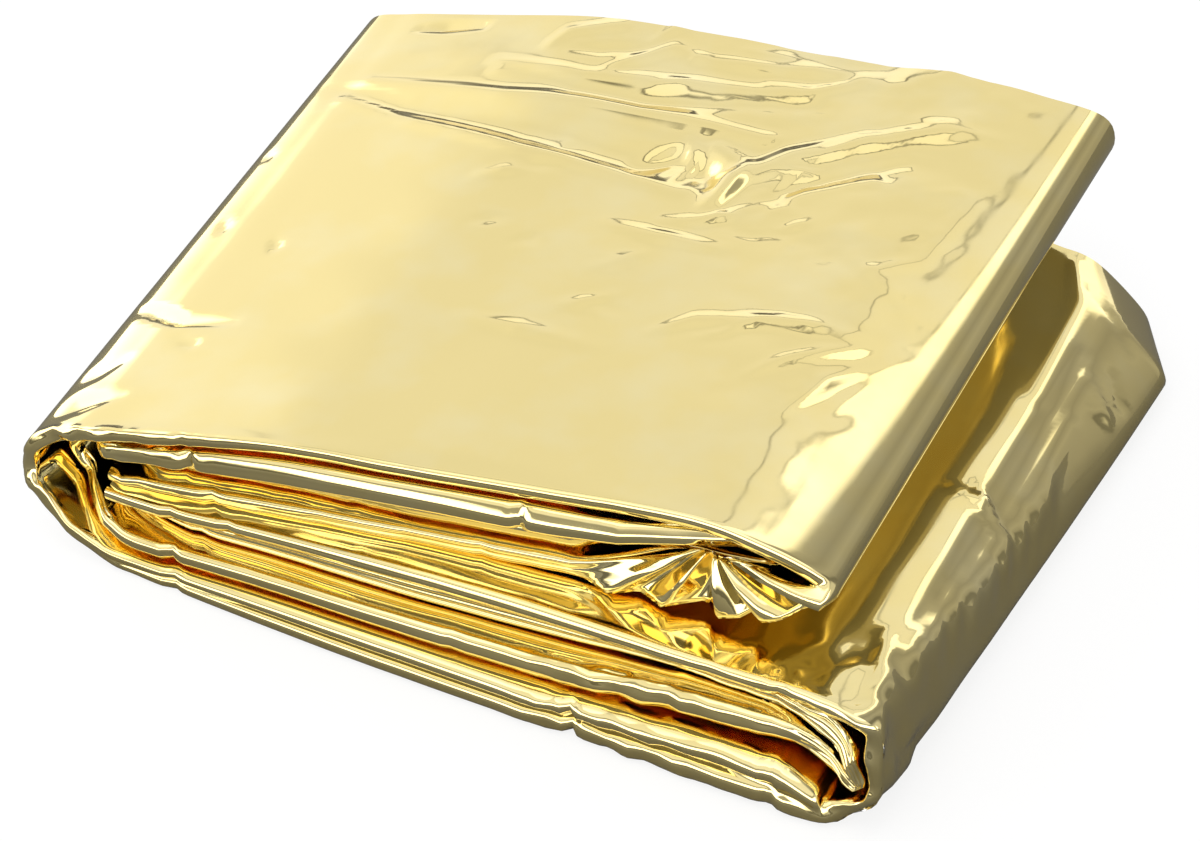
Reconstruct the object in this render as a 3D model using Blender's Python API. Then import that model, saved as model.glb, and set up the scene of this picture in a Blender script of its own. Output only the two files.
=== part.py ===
# Emergency foil blanket, folded up as it comes out of its bag.
#
# The blanket is one sheet. It is first pleated into a strip of four layers, whose
# turned edges show along the front. The strip is then folded end to end: both ends
# lie inside, and the strip runs right, back over the top, round the left end, under
# the whole pack and back in again. The upper half lies slightly turned on the lower.
#
# X runs along the strip, Y from the front edge to the back, Z up. Sizes in this file
# are millimetres, and the mesh is made in metres.
from collections import namedtuple
from math import cos, pi, radians, sin

import bmesh
import bpy
import numpy as np
from mathutils import Vector

MM = 0.001

FOIL = 1.0  # thickness of one drawn layer, which stands for a few films
STRIP_WIDTH = 102.2  # front turned edge to back edge of the pleated strip
TURNED = radians(4.1)  # how far the upper half lies turned on the lower half
TURNED_ABOUT = -12.0  # x of the point at the left end of the front that it turns about
UPPER_BACK = 1.3  # how far the upper half lies further back than the lower half
FLOOR_LAYER = FOIL / 2  # middle of the bottom layer, which lies flat on the surface
SNUG = 1.3  # from the middle of one layer to the next where two pleats touch
FLATTEST = 1.2  # height of the flattest pleat, between the middles of its two layers
BACK_TURN = 0.8  # radius of the turned edge at the back
BELLY = 1.5  # how far the lower half's right end bulges out halfway along it
# Where a layer has points, as shares of its way from front to back.
OUTER_STEPS = (0.0, 0.06, 0.17, 0.28, 0.4, 0.51, 0.6, 0.69, 0.77, 0.85, 0.93, 1.0)
INNER_STEPS = (0.0, 0.13, 0.5, 1.0)
TURN_STEPS = 3  # points in each quarter of a turned edge

# Height of the sheets through the pack, for a place in the long direction.
# top: the sheet on top. under: the upper half's underside. rest: what it lies on.
Heights = namedtuple(
    "Heights",
    "x_front x_back top_front top_back under_front under_back rest_front rest_back",
)
HEIGHTS = (
    Heights(5.0, 9.0, 21.6, 20.6, 12.3, 11.1, 10.9, 9.6),
    Heights(20.0, 22.0, 24.9, 23.6, 14.5, 12.0, 13.1, 10.3),
    Heights(39.0, 40.0, 27.3, 24.8, 16.3, 12.3, 15.0, 10.6),
    Heights(56.0, 58.0, 29.0, 25.6, 17.2, 12.6, 15.8, 10.6),
)

# The strip's stretches between two bends. share is how much of its half of the pack one
# takes up in front, and split how much of that its first pleat does. outer_in and
# inner_in say how far its front edges stand back at the four places above.
Stretch = namedtuple("Stretch", "outer partner share split outer_in inner_in")
UNDER = Stretch("under", "top", 0.49, 0.5, (2.2, 1.2, 0.8, 1.2), (3.6, 2.6, 1.6, 2.2))
TOP = Stretch("top", "under", 0.51, 0.34, (1.6, 1.0, 0.6, 0.8), (0.9, 0.2, 0.0, 0.2))
BOTTOM = Stretch("floor", "rest", 0.58, 0.65, (1.2, 0.2, -0.4, -0.8), (2.0, 1.0, 0.4, 0.6))
REST = Stretch("rest", "floor", 0.42, 0.34, (2.6, 1.6, 1.0, 0.8), (4.4, 3.8, 3.2, 3.8))

# Raised folds in the top sheet, each along a line from one place to another.
Crease = namedtuple("Crease", "x_start y_start x_end y_end height half_width")
CREASES = (
    Crease(-2.0, 79.0, 46.0, 74.0, 0.8, 8.0),
    Crease(28.0, 62.0, 56.0, 66.0, 0.5, 6.0),
    Crease(57.0, 76.0, 88.0, 90.0, 0.7, 7.0),
    Crease(20.0, 92.0, 58.0, 99.0, 0.5, 6.0),
    Crease(58.0, 34.0, 84.0, 46.0, 0.5, 7.0),
)

# A bend of the strip, as the places its outer and inner sheets pass through. The pleats
# are the heights of the two pleats there, and the last two how far they stand back.
Bend = namedtuple(
    "Bend",
    "outer_front inner_front outer_back inner_back outer_pleat inner_pleat "
    "outer_in inner_in",
)
UPPER_RIGHT_BEND = (
    Bend((66.0, 17.6), (62.0, 22.6), (68.0, 13.0), (66.6, 18.7), 1.8, 1.8, 1.6, 2.4),
    Bend((75.0, 18.2), (70.0, 22.8), (77.0, 14.4), (75.2, 18.9), 1.6, 1.7, 1.5, 2.2),
    Bend((83.0, 19.4), (77.0, 23.0), (85.4, 16.7), (80.8, 19.6), 1.3, 1.4, 1.3, 1.8),
    Bend((89.4, 21.6), (81.6, 23.4), (91.4, 20.3), (83.6, 20.5), 1.2, 1.25, 1.2, 1.4),
    Bend((92.0, 24.0), (83.0, 24.3), (92.6, 23.8), (84.2, 21.4), 1.2, 1.2, 1.2, 0.9),
    Bend((90.0, 26.5), (81.4, 25.2), (90.6, 26.6), (83.4, 22.3), 1.2, 1.25, 1.2, 0.6),
    Bend((83.2, 29.0), (76.4, 25.6), (82.6, 27.4), (80.0, 22.5), 1.25, 1.5, 1.0, 0.4),
    Bend((74.0, 30.4), (68.0, 25.2), (73.0, 27.2), (74.0, 21.8), 1.25, 1.9, 0.9, 0.2),
)
LEFT_BEND = (
    Bend((-1.6, 19.8), (-0.4, 15.8), (-1.0, 18.4), (1.4, 14.0), 1.25, 1.3, 1.4, 1.4),
    Bend((-7.2, 18.1), (-4.8, 14.5), (-7.4, 16.4), (-4.0, 12.7), 1.25, 1.3, 1.8, 2.2),
    Bend((-11.8, 15.6), (-7.9, 13.1), (-12.0, 14.7), (-7.2, 11.7), 1.25, 1.3, 2.0, 3.2),
    Bend((-13.6, 12.3), (-9.3, 11.6), (-14.2, 12.2), (-8.4, 10.7), 1.25, 1.3, 2.2, 3.8),
    Bend((-13.4, 8.9), (-9.0, 10.0), (-14.0, 8.7), (-8.0, 9.3), 1.25, 1.3, 2.0, 3.8),
    Bend((-9.8, 5.1), (-6.2, 7.9), (-10.4, 4.9), (-5.0, 7.5), 1.25, 1.3, 1.6, 3.2),
    Bend((-4.4, 2.1), (-1.8, 6.3), (-4.6, 1.9), (-1.0, 6.0), 1.4, 1.4, 1.2, 2.4),
    Bend((1.5, 0.6), (3.4, 5.8), (1.5, 0.6), (4.0, 5.2), 2.0, 1.6, 1.2, 1.6),
)
LOWER_RIGHT_BEND = (
    Bend((80.0, FLOOR_LAYER), (76.0, 8.2), (80.0, FLOOR_LAYER), (77.0, 4.8), 3.2, 2.6, -1.0, 0.5),
    Bend((90.0, FLOOR_LAYER), (85.0, 7.9), (90.0, FLOOR_LAYER), (84.6, 4.7), 2.4, 2.4, -1.4, 0.8),
    Bend((98.0, 0.6), (92.0, 7.8), (98.0, 0.6), (89.6, 4.6), 1.9, 1.9, -1.6, 1.2),
    Bend((101.4, 2.8), (95.6, 8.3), (100.2, 2.3), (92.4, 4.9), 1.5, 1.4, -1.0, 1.8),
    Bend((102.0, 7.6), (96.2, 9.3), (99.4, 5.2), (93.0, 5.5), 1.25, 1.25, -0.2, 2.4),
    Bend((101.2, 13.0), (94.2, 10.3), (97.0, 8.4), (91.6, 6.0), 1.25, 1.25, 0.6, 2.8),
    Bend((97.2, 15.6), (89.0, 10.6), (93.2, 10.0), (87.6, 6.1), 1.25, 1.4, 0.8, 3.4),
    Bend((89.4, 15.4), (81.6, 10.4), (85.8, 10.3), (81.2, 6.0), 1.4, 2.0, 0.8, 4.0),
    Bend((78.0, 15.6), (72.6, 9.8), (76.0, 10.5), (73.0, 6.1), 1.6, 2.6, 0.8, 4.2),
)


def lerp(a, b, share):
    return a + (b - a) * share


def straight_run(stretch, leftward=False):
    """One stretch between two bends, as rows of the same kind as a bend's."""
    run = []
    for i, row in enumerate(HEIGHTS):
        ends = []
        for side in ("front", "back"):
            x = getattr(row, "x_" + side)
            z, across = (
                FLOOR_LAYER if name == "floor" else getattr(row, f"{name}_{side}")
                for name in (stretch.outer, stretch.partner)
            )
            apart = across - z
            share = stretch.share if side == "front" else 0.5
            inner = z + apart * share - (SNUG / 2 if apart > 0 else -SNUG / 2)
            ends += [(x, z), (x, inner)]
        room = abs(ends[0][1] - ends[1][1]) - SNUG
        outer_pleat = min(max(room * stretch.split, FLATTEST), room - FLATTEST)
        pleats = outer_pleat, room - outer_pleat
        run.append(Bend(*ends, *pleats, stretch.outer_in[i], stretch.inner_in[i]))
    return run[::-1] if leftward else run


def fold_path():
    """All rows in order, from the strip's end inside the upper half to its other end."""
    parts = [
        ("under", straight_run(UNDER)),
        ("upper right", UPPER_RIGHT_BEND),
        ("top", straight_run(TOP, leftward=True)[:-1]),
        ("left", LEFT_BEND),
        ("bottom", straight_run(BOTTOM)[1:]),
        ("lower right", LOWER_RIGHT_BEND),
        ("rest", straight_run(REST, leftward=True)),
    ]
    rows, starts = [], {}
    for name, part in parts:
        starts[name] = len(rows), len(part)
        rows += part
    return rows, starts


def smooth_between(points, at):
    """Reads a smooth curve through the points at places counted in points."""
    points = np.asarray(points, float)
    last = len(points) - 1
    found = []
    for place in at:
        i = min(int(place), last - 1)
        t = place - i
        before = points[max(i - 1, 0)]
        after = points[min(i + 2, last)]
        start, end = points[i], points[i + 1]
        out, into = (end - before) / 2, (after - start) / 2
        found.append(
            start * (2 * t**3 - 3 * t**2 + 1)
            + out * (t**3 - 2 * t**2 + t)
            + end * (3 * t**2 - 2 * t**3)
            + into * (t**3 - t**2)
        )
    return np.array(found)


def left_of(line):
    """Unit normals of a line in the X-Z plane, on its left, which is inside the fold."""
    along = np.gradient(line, axis=0)
    along /= np.linalg.norm(along, axis=1)[:, None]
    return np.stack([-along[:, 1], along[:, 0]], 1)


def distance_to(line, points):
    """How far each point is from the nearest part of a line."""
    start, along = line[:-1], np.diff(line, axis=0)
    away = points[:, None] - start
    share = np.clip((away * along).sum(2) / (along**2).sum(1), 0, 1)
    return np.linalg.norm(away - share[:, :, None] * along, axis=2).min(1)


def turned_edge(start, end, outwards, radius):
    """Points that carry one layer round to the next, from start to end."""
    across = end - start
    width = np.linalg.norm(across)
    across /= width
    radius = min(radius, width / 2)
    quarter = [
        (radius * (1 - cos(a)), radius * sin(a))
        for a in (pi / 2 * i / TURN_STEPS for i in range(1, TURN_STEPS + 1))
    ]
    first = [start + across * u + outwards * v for u, v in quarter]
    second = [end - across * u + outwards * v for u, v in quarter[::-1]]
    if width - 2 * radius < 0.05:
        second = second[1:]
    else:
        first = first[:-1] + [(first[-1] + second[0]) / 2]
        second = second[1:]
    return first + second


def raised(x, y):
    """How far the creases lift the top sheet at a place on it."""
    lift = 0.0
    for c in CREASES:
        along = np.array([c.x_end - c.x_start, c.y_end - c.y_start])
        away = np.array([x - c.x_start, y - c.y_start])
        share = min(max(away @ along / (along @ along), 0.0), 1.0)
        apart = np.linalg.norm(away - share * along) / c.half_width
        lift += c.height * max(1 - apart**2, 0.0) ** 2
    return lift


def section(lines, i, edge_in, turned, bulge, on_top):
    """One section across the strip at station i, as points in order along the sheet."""
    forward, backward = np.array([0, -1.0, 0]), np.array([0, 1.0, 0])

    def at(layer, y):
        x, z = lerp(lines[layer]["front"][i], lines[layer]["back"][i], y / STRIP_WIDTH)
        if on_top and layer == 0:
            z += raised(x + y * sin(TURNED), y)
        return np.array([x + bulge * sin(pi * y / STRIP_WIDTH), y, z])

    def run(layer, y_start, y_end):
        steps = INNER_STEPS if layer else OUTER_STEPS
        return [at(layer, lerp(y_start, y_end, share)) for share in steps]

    def width(a, b, side):
        return np.linalg.norm(lines[a][side][i] - lines[b][side][i])

    outer_radius, inner_radius = width(0, 1, "front") / 2, width(2, 3, "front") / 2
    back_radius = min(BACK_TURN, width(1, 2, "back") / 2)
    outer_front, inner_front = edge_in[0] + outer_radius, edge_in[1] + inner_radius
    back = STRIP_WIDTH - edge_in[2]
    turned_back = STRIP_WIDTH - back_radius
    layers = [
        run(0, outer_front, back)[::-1],
        run(1, outer_front, turned_back),
        run(2, inner_front, turned_back)[::-1],
        run(3, inner_front, back - 0.8),
    ]
    points = [
        *layers[0],
        *turned_edge(layers[0][-1], layers[1][0], forward, outer_radius),
        *layers[1],
        *turned_edge(layers[1][-1], layers[2][0], backward, back_radius),
        *layers[2],
        *turned_edge(layers[2][-1], layers[3][0], forward, inner_radius),
        *layers[3],
    ]
    slant = sin(TURNED) * turned
    lift = UPPER_BACK * turned
    return [Vector((x, y + (x - TURNED_ABOUT) * slant + lift, z)) for x, y, z in points]


def fit_in(pleats, outer, inner):
    """Both pleats' heights, pressed flatter where the outer and inner sheets are close."""
    room = np.minimum(distance_to(outer, inner), distance_to(inner, outer)) - SNUG
    pressed = np.minimum(room / pleats.sum(1), 1)
    return (pleats * pressed[:, None]).T[:, :, None]


def strip_sections():
    """Every section of the strip, in order along its fold path."""
    rows, starts = fold_path()
    places = [float(i) for i in range(len(rows))]
    for name, (start, count) in starts.items():
        if name in ("upper right", "top", "left", "lower right"):
            places += [i + 0.5 for i in range(start, start + count - 1)]
    places.sort()

    def column(name):
        return smooth_between([getattr(row, name) for row in rows], places)

    left_start, left_count = starts["left"]
    right_start, right_count = starts["lower right"]
    round_left = (np.array(places) - left_start - 1) / (left_count - 2)
    round_left = np.clip(round_left, 0, 1)
    turned = 1 - round_left**2 * (3 - 2 * round_left)
    round_right = (np.array(places) - right_start) / (right_count - 1)
    bulges = BELLY * np.sin(pi * np.clip(round_right, 0, 1))

    outer = {side: column("outer_" + side) for side in ("front", "back")}
    inner = {side: column("inner_" + side) for side in ("front", "back")}
    for line in (outer, inner):
        line["back"][:, 0] -= STRIP_WIDTH * sin(TURNED) * turned
    pleats = np.stack([column("outer_pleat"), column("inner_pleat")], 1)
    edges = np.stack([column("outer_in"), column("inner_in")], 1)
    fitted = {side: fit_in(pleats, outer[side], inner[side]) for side in outer}
    lines = [
        outer,
        {side: outer[side] + left_of(outer[side]) * fitted[side][0] for side in outer},
        {side: inner[side] - left_of(inner[side]) * fitted[side][1] for side in inner},
        inner,
    ]
    sections = []
    top_start, top_count = starts["top"]
    for i, place in enumerate(places):
        back_in = 0.5 + 0.4 * sin(place * 1.3)
        edge_in = (*edges[i], back_in)
        on_top = top_start - 3 < place < top_start + top_count + 1
        sections.append(section(lines, i, edge_in, turned[i], bulges[i], on_top))
    return sections


def flatten_floor(sections):
    """Lays what came out just off the floor flat on it."""
    for row in sections:
        for point in row:
            if point.z < FLOOR_LAYER + 0.02:
                point.z = FLOOR_LAYER


def foil_material():
    material = bpy.data.materials.new("gold_foil")
    material.use_nodes = True
    shader = material.node_tree.nodes["Principled BSDF"]
    shader.inputs["Base Color"].default_value = (0.83, 0.66, 0.30, 1)
    shader.inputs["Metallic"].default_value = 1.0
    shader.inputs["Roughness"].default_value = 0.08
    return material


def build_blanket():
    sections = strip_sections()
    flatten_floor(sections)
    bm = bmesh.new()
    grid = [[bm.verts.new(point * MM) for point in row] for row in sections]
    for row, following in zip(grid, grid[1:]):
        for a, b, c, d in zip(row, row[1:], following[1:], following):
            bm.faces.new((a, b, c, d))
    bmesh.ops.recalc_face_normals(bm, faces=bm.faces)
    centre_on_floor(bm)
    mesh = bpy.data.meshes.new("blanket")
    bm.to_mesh(mesh)
    bm.free()
    mesh.materials.append(foil_material())
    mesh.shade_smooth()
    blanket = bpy.data.objects.new("blanket", mesh)
    bpy.context.scene.collection.objects.link(blanket)
    thickness = blanket.modifiers.new("film", "SOLIDIFY")
    thickness.thickness = FOIL * MM
    thickness.offset = 0
    thickness.use_even_offset = True
    thickness.use_quality_normals = True
    return blanket


def centre_on_floor(bm):
    """Puts the middle of the pack's outline above the origin."""
    xs = [v.co.x for v in bm.verts]
    ys = [v.co.y for v in bm.verts]
    middle = Vector(((min(xs) + max(xs)) / 2, (min(ys) + max(ys)) / 2, 0))
    bmesh.ops.translate(bm, verts=bm.verts, vec=-middle)


def main():
    for obj in list(bpy.data.objects):
        bpy.data.objects.remove(obj)
    build_blanket()


main()
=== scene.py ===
from math import cos, pi, radians, sin

import bmesh
import bpy
import numpy as np
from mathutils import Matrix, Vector


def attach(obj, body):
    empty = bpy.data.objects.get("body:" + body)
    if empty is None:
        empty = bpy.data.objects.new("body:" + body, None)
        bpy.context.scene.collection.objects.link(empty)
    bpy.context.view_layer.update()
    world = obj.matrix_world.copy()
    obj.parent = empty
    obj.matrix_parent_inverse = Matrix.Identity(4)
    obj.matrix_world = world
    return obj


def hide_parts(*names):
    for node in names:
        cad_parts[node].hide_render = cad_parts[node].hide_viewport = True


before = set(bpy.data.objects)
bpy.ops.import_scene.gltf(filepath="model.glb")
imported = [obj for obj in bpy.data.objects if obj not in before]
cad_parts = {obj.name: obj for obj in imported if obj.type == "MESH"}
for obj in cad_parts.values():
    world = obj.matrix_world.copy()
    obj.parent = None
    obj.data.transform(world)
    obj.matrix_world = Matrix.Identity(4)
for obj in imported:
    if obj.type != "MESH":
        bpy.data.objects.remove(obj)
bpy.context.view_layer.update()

mm = 0.001

# The blanket: one film, pleated into a strip of four layers and then folded
# end to end. Lengths are in millimetres. x runs along the strip, y from the front
# edge to the back and z up, all from the lower half's front left corner.
blanket = {
    "stripWidth": 102.2,
    "turned": radians(4.1),     # the upper half lies turned on the lower one
    "turnedAbout": -12.0,
    "upperBack": 1.3,
    "floorLayer": 0.5,
    "drawnLayer": 0.42,         # the film wraps this far round the middles of the layers
    "snug": 1.3,
    "flattest": 1.2,
    "slopeSooner": 1.1,
    "belly": 0.6,
    "chamfer": 0.62,
    "closesIn": (1.6, 4.2),     # behind a turned edge the layers close up within this
    "deepIn": 14.0,             # the inner layers are drawn finely only this far in
    "middle": (41.5032, 54.3628, 0),    # of the packet's outline: it lies at the origin
    "cutWidth": 0.40,           # m, the film laid flat
    "cutLength": 0.41,
    # the shape of the front turned edges along the path, as (place, value) pairs:
    # how much they are two or four small tubes, and how far their faces lean
    "outerTwo": ((1, 0.0), (3, 0.4), (13, 0.0), (22, 0.2), (24, 0.9), (28, 0.9), (30, 0.2), (32, 0)),
    "outerFour": ((1, 0.0), (41, 0.0)),
    "outerTilt": ((1, 0.4), (5, 0.3), (13, -0.3), (16, 0.0), (24, 0.4), (27, 0.5), (38, -0.2)),
    "innerTwo": ((1, 0.0), (13, 0.0), (15, 0.2), (21, 0.0), (41, 0.0)),
    "innerFour": ((1, 0.3), (4, 0.2), (6, 0.0), (29.4, 0.0), (30.4, 0.8), (42, 0.9)),
    "innerTilt": ((1, 0.5), (13, 0.9), (16, 0.6), (24, 0.3), (38, -0.5)),
    # where the inner turned edge is drawn back out of sight
    "innerHidden": ((0, 3.5), (0.8, 0.6), (4.4, 0), (5.6, 3.5), (10.6, 4.0), (12.2, 0), (16.2, 0),
                    (17.2, 3.6), (20.6, 4.4), (21.8, 0), (40.6, 0), (42, 3)),
    # crumpled ends of the turned edges: place and how much
    "crumple": ((0, 0.5), (1, 0.1), (15.2, 0.0), (16.4, 0.5), (20, 0.6), (22, 0.3), (23.4, 0.0),
                (25.8, 0.0), (26.3, 0.45), (27.4, 0.4), (28.2, 0.15), (30, 0.5), (33, 0.8),
                (35.4, 0.4), (37, 0.0)),
    # nipped places: stretch, x, how deep, half width
    "outerNips": (
        ("under", 12, 0.5, 0.8), ("under", 48, 0.25, 0.8), ("top", 8, 0.3, 0.8),
        ("bottom", 8, 0.5, 0.9), ("bottom", 61, 0.4, 0.8), ("bottom", 63.4, 1.1, 0.7),
        ("rest", 7, 0.4, 0.8), ("rest", 15, 0.4, 0.8), ("lowerRight", 90, 0.6, 0.9),
    ),
    "innerNips": (
        ("under", 6, 0.5, 0.8), ("under", 31, 0.3, 0.8), ("top", 9, 0.8, 0.8),
        ("top", 53, 0.7, 0.8), ("bottom", 6, 0.8, 1.0), ("bottom", 47, 0.25, 0.8),
        ("rest", 10, 0.5, 1.0),
    ),
}

# Heights through the pack, in front and at the back: the sheet on top, the upper
# half's underside and what it rests on.
#   x        top           underside     rest
heights = (
    (-3, 2, 19.0, 18.4, 10.5, 10.4, 9.9, 9.2),
    (5, 9, 21.6, 20.6, 11.7, 11.1, 11.1, 9.6),
    (20, 22, 24.9, 23.6, 13.9, 12.0, 13.3, 10.3),
    (39, 40, 27.3, 24.8, 15.9, 12.3, 15.3, 10.6),
    (56, 58, 29.0, 25.6, 16.9, 12.6, 16.2, 10.6),
)
sheetColumn = {"top": 2, "under": 4, "rest": 6}

# The strip's stretches between its bends: the sheet it runs along, the sheet across
# from it, its share of the height between, and its first pleat's share of that.
# Then how far the outer and the inner turned edges stand back.
stretches = {
    "under": ("under", "top", 0.49, 0.5, (3.4, 2.2, 1.2, 0.8, 1.2), (5.2, 3.6, 2.6, 1.6, 2.2)),
    "top": ("top", "under", 0.51, 0.34, (1.6, 1.6, 1.0, 0.6, 0.8), (0.9, 0.9, 0.2, 0.0, 0.2)),
    "bottom": ("floor", "rest", 0.58, 0.65, (1.2, 1.2, 0.2, -0.4, -0.8),
               (2.0, 2.0, 1.0, 0.4, 0.6)),
    "rest": ("rest", "floor", 0.42, 0.34, (3.6, 2.6, 1.6, 1.0, 0.8), (5.6, 4.4, 3.8, 3.2, 3.8)),
}

# The bends, as the places their outer and inner sheets pass through.
bendColumns = (
    "outerFrontX outerFrontZ innerFrontX innerFrontZ outerBackX outerBackZ "
    "innerBackX innerBackZ outerPleat innerPleat outerIn innerIn"
).split()
bends = {
    "upperRight": (
        (66.0, 17.3, 62.0, 22.6, 68.0, 13.0, 66.6, 18.7, 1.8, 1.8, 1.6, 2.4),
        (75.0, 18.2, 70.0, 22.8, 77.0, 14.4, 75.2, 18.9, 1.6, 1.7, 1.5, 2.2),
        (83.0, 19.4, 77.0, 23.0, 85.4, 16.7, 80.8, 19.6, 1.3, 1.4, 1.3, 1.8),
        (89.4, 21.6, 81.6, 23.4, 91.4, 20.3, 83.6, 20.5, 1.2, 1.25, 1.2, 1.4),
        (92.0, 24.0, 83.0, 24.3, 92.6, 23.8, 84.2, 21.4, 1.2, 1.2, 1.2, 0.9),
        (90.0, 26.5, 81.4, 25.2, 90.6, 26.6, 83.4, 22.3, 1.2, 1.25, 1.2, 0.6),
        (83.2, 29.0, 76.4, 25.6, 82.6, 27.4, 80.0, 22.5, 1.25, 1.5, 1.0, 0.4),
        (74.0, 30.4, 68.0, 25.2, 73.0, 27.2, 74.0, 21.8, 1.25, 1.9, 0.9, 0.2),
    ),
    "left": (
        (-1.6, 19.8, -0.4, 15.8, -1.0, 18.4, 1.4, 14.0, 1.25, 1.3, 1.4, 1.4),
        (-7.2, 18.1, -4.8, 14.5, -7.4, 16.4, -4.0, 12.7, 1.25, 1.3, 1.8, 2.2),
        (-11.8, 15.6, -7.9, 13.1, -12.0, 14.7, -7.2, 11.7, 1.25, 1.3, 2.0, 3.2),
        (-13.6, 12.3, -9.3, 11.6, -14.2, 12.2, -8.4, 10.7, 1.25, 1.3, 2.2, 3.8),
        (-13.4, 8.9, -9.0, 10.0, -14.0, 8.7, -8.0, 9.3, 1.25, 1.3, 2.0, 3.8),
        (-9.8, 5.1, -6.2, 7.9, -10.4, 4.9, -5.0, 7.5, 1.25, 1.3, 1.6, 3.2),
        (-4.4, 2.1, -1.8, 6.3, -4.6, 1.9, -1.0, 6.0, 1.4, 1.4, 1.2, 2.4),
        (1.5, 0.6, 3.4, 5.8, 1.5, 0.6, 4.0, 5.2, 2.0, 1.6, 1.2, 1.6),
    ),
    "lowerRight": (
        (72.0, 0.5, 70.0, 10.2, 72.0, 0.5, 71.0, 5.0, 5.4, 2.7, -0.9, 0.5),
        (83.0, 0.5, 80.0, 11.4, 83.0, 0.5, 80.0, 4.8, 6.2, 3.0, -1.0, 0.3),
        (91.5, 0.5, 88.5, 11.7, 91.5, 0.5, 85.0, 4.6, 6.0, 2.4, -1.4, 0.0),
        (97.2, 0.5, 93.6, 11.0, 97.8, 0.6, 87.6, 4.5, 4.4, 1.8, -1.7, -0.2),
        (99.6, 2.4, 97.4, 8.5, 100.8, 1.4, 89.4, 4.7, 2.2, 1.4, -1.3, -0.6),
        (102.4, 4.6, 100.0, 6.2, 101.2, 3.2, 90.4, 5.2, 1.2, 1.2, -0.6, -0.8),
        (102.6, 10.4, 98.2, 9.4, 98.4, 6.0, 89.4, 5.7, 1.3, 1.6, 0.2, -0.2),
        (101.8, 15.2, 95.2, 11.9, 94.0, 8.9, 87.0, 5.9, 1.3, 1.8, 0.4, 0.6),
        (97.2, 16.6, 90.6, 12.7, 89.4, 10.3, 84.0, 6.0, 1.4, 1.5, 0.5, 1.6),
        (88.0, 16.6, 82.0, 12.6, 83.4, 10.4, 80.0, 6.0, 1.5, 1.5, 0.7, 2.6),
        (76.0, 16.3, 71.0, 11.8, 75.0, 10.5, 73.0, 6.1, 1.6, 1.7, 0.8, 3.4),
    ),
}

# How finely the film is drawn: rows for each millimetre of the strip, along its path.
fineness = {
    "under": 0.85, "upperRight": 1.3, "top": 1.7, "left": 1.4,
    "bottom": 0.9, "lowerRight": 1.3, "rest": 0.7,
}
acrossPoints = {"top": 106, "hidden": 4, "edge": 8, "turn": 20, "turnBehind": 13}


def mixed(a, b, share):
    return a + (b - a) * share


def smoothStep(value, low=0.0, high=1.0):
    share = np.clip((np.asarray(value, float) - low) / (high - low), 0, 1)
    return share * share * (3 - 2 * share)


def wave(at, size, seed, smooth=True):
    # an uneven line between -1 and 1, with its swells about size apart
    knots = np.random.default_rng(seed).uniform(-1, 1, 256)
    place = np.asarray(at, float) / size + 100
    cell = np.floor(place).astype(int)
    share = place - cell
    if smooth:
        share = share * share * (3 - 2 * share)
    return mixed(knots[cell % 256], knots[(cell + 1) % 256], share)


def kinked(at, size, seed):
    # the same with straight runs and sharp corners
    return wave(at, size, seed, smooth=False)


def swell(x, y, size, seed):
    # the same over a surface
    knots = np.random.default_rng(seed).uniform(-1, 1, (64, 64))
    u, v = np.asarray(x, float) / size + 100, np.asarray(y, float) / size + 100
    i, j = np.floor(u).astype(int), np.floor(v).astype(int)
    s, t = u - i, v - j
    s, t = s * s * (3 - 2 * s), t * t * (3 - 2 * t)
    i, j, iNext, jNext = i % 64, j % 64, (i + 1) % 64, (j + 1) % 64
    near = mixed(knots[i, j], knots[iNext, j], s)
    far = mixed(knots[i, jNext], knots[iNext, jNext], s)
    return mixed(near, far, t)


def facets(x, y, size, seed):
    # flat three-sided facets with sharp edges, as crushed film has
    knots = np.random.default_rng(seed).uniform(-1, 1, (64, 64))
    u = np.asarray(x, float) / size + 100 + 0.45 * swell(x, y, size * 1.7, seed + 1)
    v = np.asarray(y, float) / size + 100 + 0.45 * swell(x, y, size * 1.7, seed + 2)
    lean = (u + v) * 0.366
    u, v = u + lean, v + lean
    i, j = np.floor(u).astype(int), np.floor(v).astype(int)
    s, t = u - i, v - j
    i, j, iNext, jNext = i % 64, j % 64, (i + 1) % 64, (j + 1) % 64
    start, end = knots[i, j], knots[iNext, jNext]
    lower = start * (1 - s) + knots[iNext, j] * (s - t) + end * t
    upper = start * (1 - t) + knots[i, jNext] * (t - s) + end * s
    return np.where(s > t, lower, upper)


def straightRun(name, leftward=False):
    sheet, across, share, split, outerIn, innerIn = stretches[name]
    run = []
    for i, row in enumerate(heights):
        ends = []
        for back in (0, 1):
            x = row[back]
            low, high = (
                blanket["floorLayer"] if s == "floor" else row[sheetColumn[s] + back]
                for s in (sheet, across)
            )
            apart = high - low
            half = blanket["snug"] / 2 * (1 if apart > 0 else -1)
            inner = low + apart * (0.5 if back else share) - half
            ends.append((x, low, x, inner))
        room = abs(ends[0][1] - ends[0][3]) - blanket["snug"]
        outerPleat = min(max(room * split, blanket["flattest"]), room - blanket["flattest"])
        run.append((*ends[0], *ends[1], outerPleat, room - outerPleat, outerIn[i], innerIn[i]))
    return run[::-1] if leftward else run


def foldPath():
    parts = {
        "under": straightRun("under"),
        "upperRight": bends["upperRight"],
        "top": straightRun("top", leftward=True)[:-2],
        "left": bends["left"],
        "bottom": straightRun("bottom")[2:],
        "lowerRight": bends["lowerRight"],
        "rest": straightRun("rest", leftward=True),
    }
    rows, starts = [], {}
    for name, part in parts.items():
        starts[name] = (len(rows), len(part))
        rows += part
    return np.array(rows, float), starts


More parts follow.
